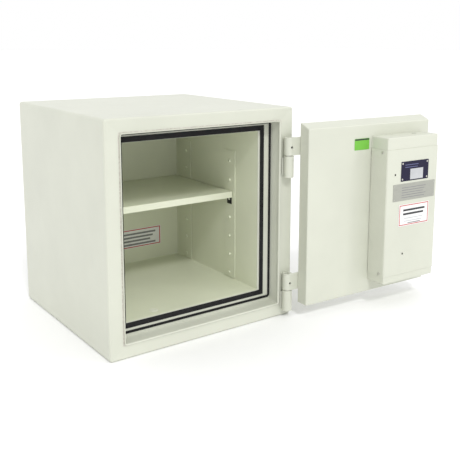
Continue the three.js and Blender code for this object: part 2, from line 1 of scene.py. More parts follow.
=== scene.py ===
# Looks of the fire-resistant document cabinet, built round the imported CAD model.
# Pieces are drawn in millimetres, in the coordinates that the CAD was drawn in: X from the cabinet's left
# side, Y back from its front face and Z up, with the door closed. CABINET and DOOR then place them in the
# row's frame in metres, the door swung open by the angle of its joint.
import json
import math
from collections import namedtuple

import bmesh
import bpy
from mathutils import Matrix, Vector

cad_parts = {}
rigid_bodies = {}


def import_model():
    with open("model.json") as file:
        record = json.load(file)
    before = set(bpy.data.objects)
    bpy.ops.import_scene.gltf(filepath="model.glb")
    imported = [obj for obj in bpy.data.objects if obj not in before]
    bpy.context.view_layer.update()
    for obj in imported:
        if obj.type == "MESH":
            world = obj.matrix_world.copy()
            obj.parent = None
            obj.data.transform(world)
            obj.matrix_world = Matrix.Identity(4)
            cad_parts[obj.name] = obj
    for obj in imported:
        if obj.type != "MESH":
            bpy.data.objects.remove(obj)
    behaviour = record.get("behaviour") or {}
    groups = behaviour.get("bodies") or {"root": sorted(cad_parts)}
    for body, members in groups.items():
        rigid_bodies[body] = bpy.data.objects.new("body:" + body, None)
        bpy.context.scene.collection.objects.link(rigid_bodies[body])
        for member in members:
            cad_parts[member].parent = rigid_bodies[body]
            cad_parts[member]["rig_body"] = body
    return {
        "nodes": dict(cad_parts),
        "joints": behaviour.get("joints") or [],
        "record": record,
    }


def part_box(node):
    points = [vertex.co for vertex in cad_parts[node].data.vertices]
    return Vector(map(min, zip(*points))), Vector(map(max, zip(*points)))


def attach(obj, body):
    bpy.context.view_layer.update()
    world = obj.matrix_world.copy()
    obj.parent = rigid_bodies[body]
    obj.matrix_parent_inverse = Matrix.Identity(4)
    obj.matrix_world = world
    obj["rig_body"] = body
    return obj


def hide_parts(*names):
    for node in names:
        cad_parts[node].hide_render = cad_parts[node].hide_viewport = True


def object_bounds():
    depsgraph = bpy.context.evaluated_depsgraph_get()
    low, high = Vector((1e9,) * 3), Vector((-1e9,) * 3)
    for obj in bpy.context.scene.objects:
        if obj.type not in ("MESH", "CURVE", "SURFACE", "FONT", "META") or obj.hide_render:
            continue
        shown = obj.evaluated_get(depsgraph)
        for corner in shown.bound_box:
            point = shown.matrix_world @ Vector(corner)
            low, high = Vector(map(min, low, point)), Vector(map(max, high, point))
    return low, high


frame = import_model()
cad_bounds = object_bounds()

NODES = frame["nodes"]
RECORD = frame["record"]
JOINTS = {joint["name"]: joint for joint in frame["joints"]}
SLOT_OF = {part["node"]: part["material_slot"] for part in RECORD["subparts"]}

# ---- where pieces are drawn ----
HINGE = Vector(JOINTS["door_hinge"]["pos_m"])
OPEN_ANGLE = -math.radians(JOINTS["door_hinge"]["range_deg"][0])
CABINET = Matrix.Translation(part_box("outer_casing")[0]) @ Matrix.Scale(0.001, 4)
SWING = Matrix.Translation(HINGE) @ Matrix.Rotation(OPEN_ANGLE, 4, "Z") @ Matrix.Translation(-HINGE)
DOOR = SWING @ CABINET
FIXED_BODIES = ("cabinet", "shelf")

Box = namedtuple("Box", "x0 x1 y0 y1 z0 z1")


def place_of(node):
    """The matrix from a node's drawing coordinates to the row's frame at rest."""
    return CABINET if NODES[node]["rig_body"] in FIXED_BODIES else DOOR


def drawn(node):
    """A CAD node's box in its drawing coordinates, in millimetres."""
    back = place_of(node).inverted()
    points = [back @ vertex.co for vertex in NODES[node].data.vertices]
    lows = [min(p[i] for p in points) for i in range(3)]
    highs = [max(p[i] for p in points) for i in range(3)]
    return Box(lows[0], highs[0], lows[1], highs[1], lows[2], highs[2])


def drawn_point(row_point, place):
    return place.inverted() @ Vector(row_point)


# ---- mesh tools ----
CORNER_STEPS = 5  # steps round a rectangle's corner
EDGE_STEPS = 4  # steps round an edge
LEAST_RADIUS = 0.15
TURN_STEPS = 48  # sides of a turned piece


def oriented(u, v, level, normal):
    """A point from its place in a section and the section's level along its normal."""
    if normal == "x":
        return Vector((level, u, v))
    if normal == "y":
        return Vector((u, level, v))
    return Vector((u, v, level))


def rounded(rect, radius, level, normal="y"):
    """The points of a rounded rectangle (low u, high u, low v, high v) at one level."""
    u0, u1, v0, v1 = rect
    r = max(radius, LEAST_RADIUS)
    centres = ((u1 - r, v1 - r), (u0 + r, v1 - r), (u0 + r, v0 + r), (u1 - r, v0 + r))
    points = []
    for corner, (u, v) in enumerate(centres):
        for step in range(CORNER_STEPS + 1):
            angle = math.radians(90) * (corner + step / CORNER_STEPS)
            points.append(oriented(u + r * math.cos(angle), v + r * math.sin(angle), level, normal))
    return points


def inset(rect, by):
    return (rect[0] + by, rect[1] - by, rect[2] + by, rect[3] - by)


def face_rect(box):
    """A box's outline seen from the front: (low x, high x, low z, high z)."""
    return (box.x0, box.x1, box.z0, box.z1)


def loft(bm, rings, closed=False, cap_first=False, cap_last=False):
    """Skins rings of equal point counts, in order."""
    rows = [[bm.verts.new(point) for point in ring] for ring in rings]
    pairs = list(zip(rows, rows[1:])) + ([(rows[-1], rows[0])] if closed else [])
    for one, other in pairs:
        for i in range(len(one)):
            j = (i + 1) % len(one)
            bm.faces.new((one[i], one[j], other[j], other[i]))
    if cap_first:
        bm.faces.new(rows[0])
    if cap_last:
        bm.faces.new(rows[-1])


def quarter(steps=EDGE_STEPS):
    """(1 - cos, 1 - sin) of a quarter turn, from a side (0, 1) to a face (1, 0)."""
    angles = [math.radians(90) * i / steps for i in range(steps + 1)]
    return [(1 - math.cos(a), 1 - math.sin(a)) for a in angles]


def soft_box(bm, box, edge, corner=None, normal="y"):
    """A box with rounded edges: edge is the radius round its two faces, corner that of its four sides."""
    corner = edge if corner is None else corner
    rect, low, high = section_of(box, normal)
    rings = [
        rounded(inset(rect, edge * sideways), corner - edge * sideways, low + edge * up, normal)
        for sideways, up in reversed(quarter())
    ]
    rings += [
        rounded(inset(rect, edge * sideways), corner - edge * sideways, high - edge * up, normal)
        for sideways, up in quarter()
    ]
    loft(bm, rings, cap_first=True, cap_last=True)


def section_of(box, normal):
    """A box's rectangle across a normal, and its two levels along it."""
    if normal == "x":
        return (box.y0, box.y1, box.z0, box.z1), box.x0, box.x1
    if normal == "y":
        return face_rect(box), box.y0, box.y1
    return (box.x0, box.x1, box.y0, box.y1), box.z0, box.z1


def turned(bm, centre, normal, profile, steps=TURN_STEPS, closed=False):
    """A turned piece: profile is (radius, level along the normal from centre), from end to end."""
    rings = []
    for radius, level in profile:
        angles = [math.tau * i / steps for i in range(steps)]
        offsets = [oriented(radius * math.cos(a), radius * math.sin(a), level, normal) for a in angles]
        rings.append([Vector(centre) + offset for offset in offsets])
    start = len(bm.verts)
    loft(bm, rings, closed=closed)
    bm.verts.ensure_lookup_table()
    bmesh.ops.remove_doubles(bm, verts=bm.verts[start:], dist=1e-5)


def rod_profile(radius, length, chamfer):
    """A plain round bar's profile, its two ends rounded by chamfer."""
    low = [(radius - chamfer * sideways, chamfer * up) for sideways, up in reversed(quarter(3))]
    high = [(radius - chamfer * sideways, length - chamfer * up) for sideways, up in quarter(3)]
    return [(0, 0)] + low + high + [(0, length)]


def tube_profile(outer, inner, length, chamfer):
    """A tube's closed profile, its outer rims rounded by chamfer."""
    low = [(outer - chamfer * sideways, chamfer * up) for sideways, up in reversed(quarter(3))]
    high = [(outer - chamfer * sideways, length - chamfer * up) for sideways, up in quarter(3)]
    lip = min(chamfer, 0.6)
    return low + high + [(inner + lip, length), (inner, length - lip), (inner, lip), (inner + lip, 0)]


def extruded(bm, outline, low, high, normal, edge, steps=3):
    """An outline carried along a normal, with the rims of its two faces rounded by edge."""
    start = [bm.verts.new(oriented(u, v, low, normal)) for u, v in outline]
    end = [bm.verts.new(oriented(u, v, high, normal)) for u, v in outline]
    following = list(range(1, len(outline))) + [0]
    sides = [bm.faces.new((start[i], start[j], end[j], end[i])) for i, j in enumerate(following)]
    faces = [bm.faces.new(start), bm.faces.new(end)]
    rims = [e for face in faces for e in face.edges]
    bmesh.ops.recalc_face_normals(bm, faces=faces + sides)
    if edge:
        bmesh.ops.bevel(
            bm, geom=rims, offset=edge, segments=steps, profile=0.5, affect="EDGES", clamp_overlap=False
        )


def arc(u, v, radius, start, end, steps=12):
    """Points of a circle's arc, with angles in degrees."""
    angles = [math.radians(start + (end - start) * i / steps) for i in range(steps + 1)]
    return [(u + radius * math.cos(a), v + radius * math.sin(a)) for a in angles]


# ---- materials ----
class Nodes:
    """A material's node tree with short ways to add nodes and join them."""

    def __init__(self, name):
        self.material = bpy.data.materials.new(name)
        self.material.use_nodes = True
        self.tree = self.material.node_tree
        self.shader = self.tree.nodes["Principled BSDF"]
        self.place = self.add("ShaderNodeTexCoord").outputs["Object"]

    def add(self, kind, **settings):
        node = self.tree.nodes.new(kind)
        for key, value in settings.items():
            setattr(node, key, value)
        return node

    def join(self, output, socket):
        self.tree.links.new(output, socket)

    def stretched(self, scale):
        """The object's coordinates, scaled by three numbers."""
        mapping = self.add("ShaderNodeMapping")
        mapping.inputs["Scale"].default_value = scale
        self.join(self.place, mapping.inputs["Vector"])
        return mapping.outputs["Vector"]

    def noise(self, scale, detail=2.0, rough=0.5, vector=None):
        node = self.add("ShaderNodeTexNoise")
        node.inputs["Scale"].default_value = scale
        node.inputs["Detail"].default_value = detail
        node.inputs["Roughness"].default_value = rough
        self.join(vector or self.place, node.inputs["Vector"])
        return node.outputs["Fac"]

    def ramp(self, factor, stops):
        """A colour ramp of (position, colour) stops."""
        node = self.add("ShaderNodeValToRGB")
        elements = node.color_ramp.elements
        while len(elements) < len(stops):
            elements.new(0.5)
        for element, (position, colour) in zip(elements, stops):
            element.position = position
            element.color = (*colour, 1)
        self.join(factor, node.inputs["Fac"])
        return node.outputs["Color"]

    def spread(self, factor, low, high):
        """A 0 to 1 factor carried to low to high."""
        node = self.add("ShaderNodeMapRange")
        node.inputs["To Min"].default_value = low
        node.inputs["To Max"].default_value = high
        self.join(factor, node.inputs["Value"])
        return node.outputs["Result"]

    def bump(self, height, strength, distance, under=None):
        node = self.add("ShaderNodeBump")
        node.inputs["Strength"].default_value = strength
        node.inputs["Distance"].default_value = distance
        self.join(height, node.inputs["Height"])
        if under:
            self.join(under, node.inputs["Normal"])
        return node.outputs["Normal"]

    def shade(self, colour, roughness, normal, metallic=0.0, **sockets):
        self.join(colour, self.shader.inputs["Base Color"])
        self.join(roughness, self.shader.inputs["Roughness"])
        self.join(normal, self.shader.inputs["Normal"])
        self.shader.inputs["Metallic"].default_value = metallic
        for name, value in sockets.items():
            self.shader.inputs[name.replace("_", " ")].default_value = value
        return self.material


def tinted(colour, by):
    return tuple(min(1.0, c * by) for c in colour)


CREAM = (0.60, 0.615, 0.525)
# The liner's cream is set paler than the casing's so that the compartment reads brighter: painted light in
# its colour.
LINER_CREAM_WITH_PAINTED_LIGHT = (0.70, 0.725, 0.575)


def powder_coat(name, colour):
    """Satin powder coat: orange peel, a finer grain over it, and faint drifts of shade and gloss."""
    n = Nodes(name)
    drift = n.noise(5.5, 3, 0.55)
    tone = n.ramp(drift, [(0.3, tinted(colour, 0.965)), (0.7, tinted(colour, 1.025))])
    peel = n.noise(420, 1.5, 0.4)
    grain = n.noise(2600, 1, 0.5)
    normal = n.bump(grain, 0.05, 0.00004, n.bump(peel, 0.16, 0.00012))
    gloss = n.spread(n.noise(38, 3, 0.6), 0.33, 0.43)
    return n.shade(tone, gloss, normal, IOR=1.5, Coat_Weight=0.12, Coat_Roughness=0.22)


def seal_rubber():
    n = Nodes("seal_rubber")
    tone = n.ramp(n.noise(60, 4, 0.6), [(0.3, (0.007, 0.007, 0.008)), (0.75, (0.017, 0.017, 0.018))])
    gloss = n.spread(n.noise(140, 3, 0.6), 0.62, 0.82)
    normal = n.bump(n.noise(1500, 2, 0.6), 0.25, 0.0001)
    return n.shade(tone, gloss, normal, Specular_IOR_Level=0.22)


def cast_fill():
    n = Nodes("insulation_fill")
    tone = n.ramp(n.noise(180, 6, 0.7), [(0.3, (0.40, 0.38, 0.33)), (0.7, (0.68, 0.66, 0.60))])
    gloss = n.spread(n.noise(90, 3), 0.85, 0.98)
    return n.shade(tone, gloss, n.bump(n.noise(300, 6, 0.7), 0.8, 0.0008))


def bare_steel(name, colour, scale, gloss_range, bump_strength, metallic=1.0):
    """Metal with fine tool or brush marks along one direction, set by scale."""
    n = Nodes(name)
    marks = n.noise(1, 4, 0.65, n.stretched(scale))
    tone = n.ramp(marks, [(0.25, tinted(colour, 0.86)), (0.75, tinted(colour, 1.1))])
    gloss = n.spread(n.noise(45, 3, 0.6), *gloss_range)
    return n.shade(tone, gloss, n.bump(marks, bump_strength, 0.00005), metallic)


def zinc_plate():
    n = Nodes("zinc_plate")
    cells = n.add("ShaderNodeTexVoronoi")
    cells.inputs["Scale"].default_value = 260
    n.join(n.place, cells.inputs["Vector"])
    tone = n.ramp(cells.outputs["Color"], [(0.1, (0.48, 0.48, 0.44)), (0.9, (0.66, 0.65, 0.60))])
    gloss = n.spread(n.noise(60, 3), 0.26, 0.42)
    return n.shade(tone, gloss, n.bump(n.noise(900, 2), 0.12, 0.00005), 1.0)


def black_oxide():
    n = Nodes("black_steel")
    tone = n.ramp(n.noise(90, 4, 0.6), [(0.3, (0.012, 0.012, 0.013)), (0.75, (0.035, 0.034, 0.034))])
    gloss = n.spread(n.noise(120, 2), 0.34, 0.5)
    return n.shade(tone, gloss, n.bump(n.noise(1100, 2), 0.2, 0.00006), 0.6)


def printed_sheet(name, colour, gloss_range, metallic=0.0, fibre=700, **sockets):
    """A label's or plate's ground: nearly even, with a slight mottle and grain."""
    n = Nodes(name)
    tone = n.ramp(n.noise(35, 3, 0.5), [(0.3, tinted(colour, 0.93)), (0.75, tinted(colour, 1.05))])
    gloss = n.spread(n.noise(80, 3), *gloss_range)
    return n.shade(tone, gloss, n.bump(n.noise(fibre, 2), 0.1, 0.00005), metallic, **sockets)


def brushed_plate():
    n = Nodes("aluminium_plate")
    marks = n.noise(1, 3, 0.7, n.stretched((12, 900, 1700)))
    tone = n.ramp(marks, [(0.25, (0.32, 0.325, 0.285)), (0.75, (0.43, 0.435, 0.39))])
    gloss = n.spread(marks, 0.36, 0.52)
    return n.shade(tone, gloss, n.bump(marks, 0.1, 0.00004), 0.35)


MATERIALS = {
    "cream_paint": powder_coat("cream_paint", CREAM),
    "liner_paint": powder_coat("liner_paint", LINER_CREAM_WITH_PAINTED_LIGHT),
    "cap_plastic": printed_sheet("cap_plastic", (0.72, 0.73, 0.62), (0.42, 0.55)),
    "seal_rubber": seal_rubber(),
    "insulation_fill": cast_fill(),
    "bright_steel": bare_steel("bright_steel", (0.60, 0.61, 0.62), (1400, 60, 1400), (0.2, 0.34), 0.15),
    "satin_chrome": bare_steel("satin_chrome", (0.74, 0.75, 0.76), (300, 300, 2200), (0.14, 0.26), 0.08),
    "black_steel": black_oxide(),
    "zinc_plate": zinc_plate(),
    "navy_plate": printed_sheet("navy_plate", (0.012, 0.010, 0.036), (0.36, 0.48), Specular_IOR_Level=0.22),
    "aluminium_plate": brushed_plate(),
    "white_label": printed_sheet("white_label", (0.82, 0.82, 0.81), (0.4, 0.55)),
    "green_label": printed_sheet("green_label", (0.17, 0.50, 0.055), (0.34, 0.48)),
}
INKS = {
    "ink_red": printed_sheet("ink_red", (0.52, 0.035, 0.03), (0.4, 0.5)),
    "ink_dark": printed_sheet("ink_dark", (0.03, 0.03, 0.035), (0.4, 0.5)),
    "ink_grey": printed_sheet("ink_grey", (0.22, 0.22, 0.23), (0.4, 0.5)),
    "ink_pale": printed_sheet("ink_pale", (0.50, 0.51, 0.53), (0.35, 0.5)),
    "ink_blue": printed_sheet("ink_blue", (0.10, 0.11, 0.24), (0.35, 0.5)),
}
for node_name, node_object in NODES.items():
    node_object.data.materials.clear()
    node_object.data.materials.append(MATERIALS[SLOT_OF[node_name]])


# ---- pieces ----
SMOOTH_BELOW = math.radians(32)


def make(name, bm, place, body, material, weighted=True):
    bmesh.ops.recalc_face_normals(bm, faces=bm.faces)
    mesh = bpy.data.meshes.new(name)
    bm.to_mesh(mesh)
    bm.free()
    mesh.transform(place)
    mesh.shade_smooth()
    mesh.set_sharp_from_angle(angle=SMOOTH_BELOW)
    mesh.materials.append(material)
    made = bpy.data.objects.new(name, mesh)
    bpy.context.scene.collection.objects.link(made)
    if weighted:
        normals = made.modifiers.new("weighted_normals", "WEIGHTED_NORMAL")
        normals.keep_sharp = True
    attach(made, body)
    return made


def dress(node, bm):
    """The detailed piece that stands for a CAD node, in its body, slot and material."""
    slot = SLOT_OF[node]
    made = make(f"{node}_shape", bm, place_of(node), NODES[node]["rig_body"], MATERIALS[slot])
    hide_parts(node)
    return made


def detail(name, host, bm, material):
    """A small piece that goes with a CAD node without standing for it."""
    return make(name, bm, place_of(host), NODES[host]["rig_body"], material)


def carve(made, *cutters):
    """Cuts holes through a piece. Each cutter is a bmesh in the piece's drawing coordinates and its place."""
    for bm, place in cutters:
        mesh = bpy.data.meshes.new("cutter")
        bmesh.ops.recalc_face_normals(bm, faces=bm.faces)
        bm.to_mesh(mesh)
        bm.free()
        mesh.transform(place)
        cutter = bpy.data.objects.new("cutter", mesh)
        bpy.context.scene.collection.objects.link(cutter)
        cut = made.modifiers.new("cut", "BOOLEAN")
        cut.operation = "DIFFERENCE"
        cut.solver = "EXACT"
        cut.object = cutter
        while made.modifiers[0] != cut:
            made.modifiers.move(len(made.modifiers) - 1, 0)
        graph = bpy.context.evaluated_depsgraph_get()
        shown = [(m, m.show_viewport) for m in made.modifiers if m != cut]
        for modifier, _ in shown:
            modifier.show_viewport = False
        graph.update()
        result = bpy.data.meshes.new_from_object(made.evaluated_get(graph))
        made.modifiers.remove(cut)
        for modifier, was in shown:
            modifier.show_viewport = was
        made.data = result
        result.set_sharp_from_angle(angle=SMOOTH_BELOW)
        bpy.data.objects.remove(cutter)


def hole(centre, normal, radius, start, end, steps=32):
    """A round cutter between two levels along a normal."""
    bm = bmesh.new()
    turned(bm, centre, normal, [(0, start), (radius, start), (radius, end), (0, end)], steps)
    return bm


# ---- cabinet: casing, rebate, liner ----
CASING = drawn("outer_casing")
FRAME = drawn("rebate_frame")
SHEET = FRAME.y1 - FRAME.y0
GAP = 0.3  # what touching CAD solids keep between them
OPENING = inset(face_rect(FRAME), SHEET)
LINER = drawn("inner_liner")
THIN = 2  # the sheet of the liner, the shelf, the strips and the door's pan
ROOM = inset(face_rect(LINER), THIN)
CASING_CORNER = 8
CASING_EDGE = 4.5
OPENING_CORNER = 4
OPENING_EDGE = 4
CAP = drawn("anchor_hole_cap")
SLEEVE = drawn("anchor_sleeve")
ANCHOR_RADIUS = 8
OUTER_SEAL_WIDTH = 6.5
BOLT_NODES = ("bolt_lower", "bolt_middle", "bolt_upper")
SOCKET_RADIUS = 11.5
CUT_PAST = 5  # how far a cutter reaches past the sheet it cuts


def axis_point(box, z):
    """The point at a height on a box's upright axis."""
    return ((box.x0 + box.x1) / 2, (box.y0 + box.y1) / 2, z)


def bolt_centre(node, x):
    """The point on a bolt's axis at x."""
    box = drawn(node)
    return (x, (box.y0 + box.y1) / 2, (box.z0 + box.z1) / 2)


def casing():
    outer = face_rect(CASING)
    fold_end = FRAME.y0 - GAP
    rim = 0.5
    rings = [rounded(inset(outer, rim), CASING_CORNER - rim, CASING.y1)]
    rings.append(rounded(outer, CASING_CORNER, CASING.y1 - rim))
    for sideways, up in quarter(6):
        by = CASING_EDGE * sideways
        rings.append(rounded(inset(outer, by), CASING_CORNER - by, CASING_EDGE * up))
    for up, sideways in reversed(quarter(6)):
        by = -OPENING_EDGE * sideways
        rings.append(rounded(inset(OPENING, by), OPENING_CORNER - by, OPENING_EDGE * up))
    rings.append(rounded(OPENING, OPENING_CORNER, fold_end))
    rings.append(rounded(inset(OPENING, -SHEET), OPENING_CORNER + SHEET, fold_end))
    rings.append(rounded(inset(OPENING, -SHEET), OPENING_CORNER + SHEET, OPENING_EDGE + SHEET))
    rings.append(rounded(inset(outer, SHEET), CASING_CORNER - SHEET, OPENING_EDGE + SHEET))
    rings.append(rounded(inset(outer, SHEET), CASING_CORNER - SHEET, CASING.y1))
    bm = bmesh.new()
    loft(bm, rings, closed=True)
    made = dress("outer_casing", bm)
    carve(made, (hole(axis_point(SLEEVE, 0), "z", ANCHOR_RADIUS, -CUT_PAST, SHEET + CUT_PAST), CABINET))


def back_and_frame():
    panel = drawn("rear_panel")
    bm = bmesh.new()
    soft_box(bm, panel, 0.6, CASING_CORNER - SHEET)
    dress("rear_panel", bm)

    outer, outer_corner = face_rect(FRAME), OPENING_CORNER + SHEET
    lip, hole_corner = 1.2, 2
    rings = [rounded(outer, outer_corner, FRAME.y1), rounded(outer, outer_corner, FRAME.y0)]
    for up, sideways in reversed(quarter()):
        by = lip * sideways
        rings.append(rounded(inset(ROOM, -by), hole_corner + by, FRAME.y0 + lip * up))
    rings.append(rounded(ROOM, hole_corner, FRAME.y1))
    bm = bmesh.new()
    loft(bm, rings, closed=True)
    dress("rebate_frame", bm)


def seal(node, corner, hole_rect, hole_corner):
    """A strip seal with a low crown, between its outer outline and its hole."""
    box = drawn(node)
    outer = face_rect(box)
    crown = 0.7
    rings = [rounded(outer, corner, level) for level in (box.y1, box.y0 + crown)]
    rings.append(rounded(inset(outer, crown), corner - crown, box.y0))
    rings.append(rounded(inset(hole_rect, -crown), hole_corner + crown, box.y0))
    rings += [rounded(hole_rect, hole_corner, level) for level in (box.y0 + crown, box.y1)]
    bm = bmesh.new()
    loft(bm, rings, closed=True)
    dress(node, bm)


def hole_of(node):
    """The hole of a frame-like node: the vertices nearest its centre give its sides."""
    box = drawn(node)
    back = place_of(node).inverted()
    points = [back @ vertex.co for vertex in NODES[node].data.vertices]
    mid_x, mid_z = (box.x0 + box.x1) / 2, (box.z0 + box.z1) / 2
    margin = 30  # a frame's own width is less than this
    clear = 0.5  # how far inside the outline a vertex of the hole lies at least
    inner = [p for p in points if abs(p.x - mid_x) < (box.x1 - box.x0) / 2 - clear]
    inner = [p for p in inner if abs(p.z - mid_z) < (box.z1 - box.z0) / 2 - clear]
    low_x = max(p.x for p in inner if p.x < box.x0 + margin)
    high_x = min(p.x for p in inner if p.x > box.x1 - margin)
    low_z = max(p.z for p in inner if p.z < box.z0 + margin)
    high_z = min(p.z for p in inner if p.z > box.z1 - margin)
    return (low_x, high_x, low_z, high_z)


def liner():
    bend, corner, outer_corner = 3, 3, 4
    rings = []
    for sideways, up in reversed(quarter()):
        level = LINER.y1 - THIN - bend * up
        rings.append(rounded(inset(ROOM, bend * sideways), corner - 0.8 * sideways, level))
    rings.append(rounded(ROOM, corner, LINER.y0))
    outer = inset(ROOM, -THIN)
    rings += [rounded(outer, outer_corner, LINER.y0), rounded(outer, outer_corner, LINER.y1)]
    bm = bmesh.new()
    loft(bm, rings, cap_first=True, cap_last=True)
    made = dress("inner_liner", bm)
    for node in BOLT_NODES:
        socket = bolt_centre(node, ROOM[0])
        carve(made, (hole(socket, "x", SOCKET_RADIUS, -THIN - 1, CUT_PAST), CABINET))
    anchor = axis_point(SLEEVE, ROOM[2])
    carve(made, (hole(anchor, "z", ANCHOR_RADIUS, -THIN - 1, CUT_PAST), CABINET))


def anchor_cap():
    """A thin flange with a ring pressed into it, on a plug that fills the hole."""
    height = CAP.z1 - CAP.z0
    radius = (CAP.x1 - CAP.x0) / 2
    flange_thick = 1.2
    base = height - flange_thick
    plug = ANCHOR_RADIUS - 0.4
    profile = [(0, 0), (plug - 1, 0), (plug, 1.5), (plug, base), (radius, base), (radius, base + 0.3)]
    profile += [(radius - 0.7, base + 0.9), (radius - 2.2, base + 1.1), (radius - 3, base + 0.5)]
    profile += [(radius - 4, base + 0.5), (radius - 5, base + 1.1), (0, height)]
    bm = bmesh.new()
    turned(bm, axis_point(CAP, CAP.z0), "z", profile)
    dress("anchor_hole_cap", bm)


# ---- compartment fittings ----
LUG = {"first": 94, "pitch": 56.3, "count": 7, "radius": 4, "height": 4}


def strip(node):
    """A shelf strip with a row of round lugs pressed out of it."""
    box = drawn(node)
    left = node.endswith("left")
    inward = 1 if left else -1
    wall = box.x0 if left else box.x1
    face = wall + inward * THIN
    plate = Box(min(wall, face), max(wall, face), box.y0, box.y1, box.z0, box.z1)
    bm = bmesh.new()
    soft_box(bm, plate, 0.6, 0.8, "x")
    r, top = LUG["radius"], LUG["height"]
    profile = [(0, -1), (r + 0.5, -1), (r + 0.5, 0.1), (r, 0.7), (r, top - 1.5)]
    profile += [(r - 0.4, top - 0.7), (r - 1.3, top - 0.1), (0, top)]
    for i in range(LUG["count"]):
        centre = (face, (box.y0 + box.y1) / 2, LUG["first"] + i * LUG["pitch"])
        turned(bm, centre, "x", [(radius, inward * level) for radius, level in profile], 28)
    dress(node, bm)


def bevelled(node, width):
    """A piece with the CAD node's own shape, its faces merged and its sharp edges rounded."""
    sharp_angle = math.radians(40)
    bm = bmesh.new()
    bm.from_mesh(NODES[node].data)
    bmesh.ops.transform(bm, matrix=place_of(node).inverted(), verts=bm.verts)
    bmesh.ops.remove_doubles(bm, verts=bm.verts, dist=1e-3)
    bmesh.ops.dissolve_limit(bm, angle_limit=math.radians(1), verts=bm.verts, edges=bm.edges)
    joined = [e for e in bm.edges if len(e.link_faces) == 2]
    sharp = [e for e in joined if e.calc_face_angle() > sharp_angle]
    bmesh.ops.bevel(
        bm, geom=sharp, offset=width, segments=3, profile=0.5, affect="EDGES", clamp_overlap=True
    )
    dress(node, bm)


def shelf():
    """A tray turned upside down, its front flange returned under it."""
    box = drawn("shelf")
    rect, low, high = section_of(box, "z")
    hollow, hollow_corner = inset(rect, THIN), 1
    bend = 2.6
    return_depth = 16
    rings = [rounded(hollow, hollow_corner, low, "z"), rounded(rect, bend, low, "z")]
    for sideways, up in quarter(5):
        by = bend * sideways
        rings.append(rounded(inset(rect, by), bend - by, high - bend * up, "z"))
    bm = bmesh.new()
    loft(bm, rings, cap_last=True)
    under = [rounded(hollow, hollow_corner, level, "z") for level in (low, high - THIN)]
    loft(bm, under, cap_last=True)
    bmesh.ops.remove_doubles(bm, verts=bm.verts, dist=1e-4)
    returned = Box(hollow[0], hollow[1], box.y0 + 1, box.y0 + return_depth, low, low + THIN)
    soft_box(bm, returned, 0.5)
    dress("shelf", bm)


# ---- hinges ----
AXIS = drawn_point(JOINTS["door_hinge"]["pos_m"], CABINET)
BORE = 7.3
GRUB_HOLE = 3.3
WEB_HALF = 9
WEB_SHORT = 6  # how much shorter the web is than its barrel at each end
LEAF_THICK = 8


def bore_along_z(z0, z1):
    return hole((AXIS.x, AXIS.y, 0), "z", BORE, z0, z1, TURN_STEPS)


def hinge_barrel(name):
    """The barrel on the cabinet, on a web with a weld's flare at each side."""
    barrel = drawn(f"hinge_barrel_{name}")
    radius = (barrel.x1 - barrel.x0) / 2
    bm = bmesh.new()
    profile = tube_profile(radius, BORE, barrel.z1 - barrel.z0, 1.2)
    turned(bm, (AXIS.x, AXIS.y, barrel.z0), "z", profile, closed=True)
    web_low, web_top = barrel.z0 + WEB_SHORT, barrel.z1 - WEB_SHORT
    for side in (-1, 1):
        inner = AXIS.x + side * (WEB_HALF - 6)
        outer = AXIS.x + side * WEB_HALF
        flare = outer + side * 3
        outline = [(inner, barrel.y1 - 5), (outer, barrel.y1 - 5), (outer, barrel.y1 - 2.5)]
        outline += [(outer + side * 1, barrel.y1 - 1), (flare, barrel.y1), (inner, barrel.y1)]
        extruded(bm, outline, web_low, web_top, "z", 0)
    web_front = AXIS.y + BORE + 0.6
    web = Box(AXIS.x - WEB_HALF, AXIS.x + WEB_HALF, web_front, barrel.y1, web_low, web_top)
    soft_box(bm, web, 0.6)
    dress(f"hinge_barrel_{name}", bm)


def hinge_leaf(name):
    """The leaf on the door, rolled into a barrel at its end and tapped for the grub screw."""
    leaf = drawn(f"hinge_leaf_{name}")
    radius = leaf.x1 - AXIS.x
    front, back = leaf.y1 - LEAF_THICK, leaf.y1
    meet = math.degrees(math.asin((front - AXIS.y) / radius))
    outline = [(leaf.x0, back), (leaf.x0, front)]
    outline += arc(AXIS.x, AXIS.y, radius, 180 - meet, 360 + 90, 36)
    outline += [(AXIS.x, back)]
    bm = bmesh.new()
    extruded(bm, outline, leaf.z0, leaf.z1, "z", 1.1)
    made = dress(f"hinge_leaf_{name}", bm)
    carve(made, (bore_along_z(leaf.z0 - 1, leaf.z1 + 1), DOOR))
    grub = drawn(f"hinge_grub_screw_{name}")
    centre = ((grub.x0 + grub.x1) / 2, AXIS.y, (grub.z0 + grub.z1) / 2)
    carve(made, (hole(centre, "y", GRUB_HOLE, BORE - 1, radius + 2, 24), DOOR))


def hinge_pin(name):
    pin = drawn(f"hinge_pin_{name}")
    bm = bmesh.new()
    profile = rod_profile((pin.x1 - pin.x0) / 2, pin.z1 - pin.z0, 0.9)
    turned(bm, (AXIS.x, AXIS.y, pin.z0), "z", profile)
    dress(f"hinge_pin_{name}", bm)
    washer = drawn(f"hinge_washer_{name}")
    bm = bmesh.new()
    profile = tube_profile((washer.x1 - washer.x0) / 2, BORE, washer.z1 - washer.z0, 0.4)
    turned(bm, (AXIS.x, AXIS.y, washer.z0), "z", profile, closed=True)
    dress(f"hinge_washer_{name}", bm)


def socket_screw(node, key, depth):
    """A headless screw along Y with a hexagon socket in its outer end."""
    box = drawn(node)
    radius = (box.x1 - box.x0) / 2
    centre = Vector(((box.x0 + box.x1) / 2, 0, (box.z0 + box.z1) / 2))
    bm = bmesh.new()
    sides = 36
    levels = [(radius, box.y0), (radius, box.y1 - 0.4), (radius - 0.4, box.y1), (key + 0.3, box.y1)]
    rings = []
    for r, level in levels:
        rings.append([centre + Vector((r * math.cos(a), level, r * math.sin(a))) for a in turns(sides)])
    for level in (box.y1 - 0.2, box.y1 - depth):
        rings.append([centre + hexagon_point(key, a, level) for a in turns(sides)])
    loft(bm, rings, cap_first=True, cap_last=True)
    dress(node, bm)


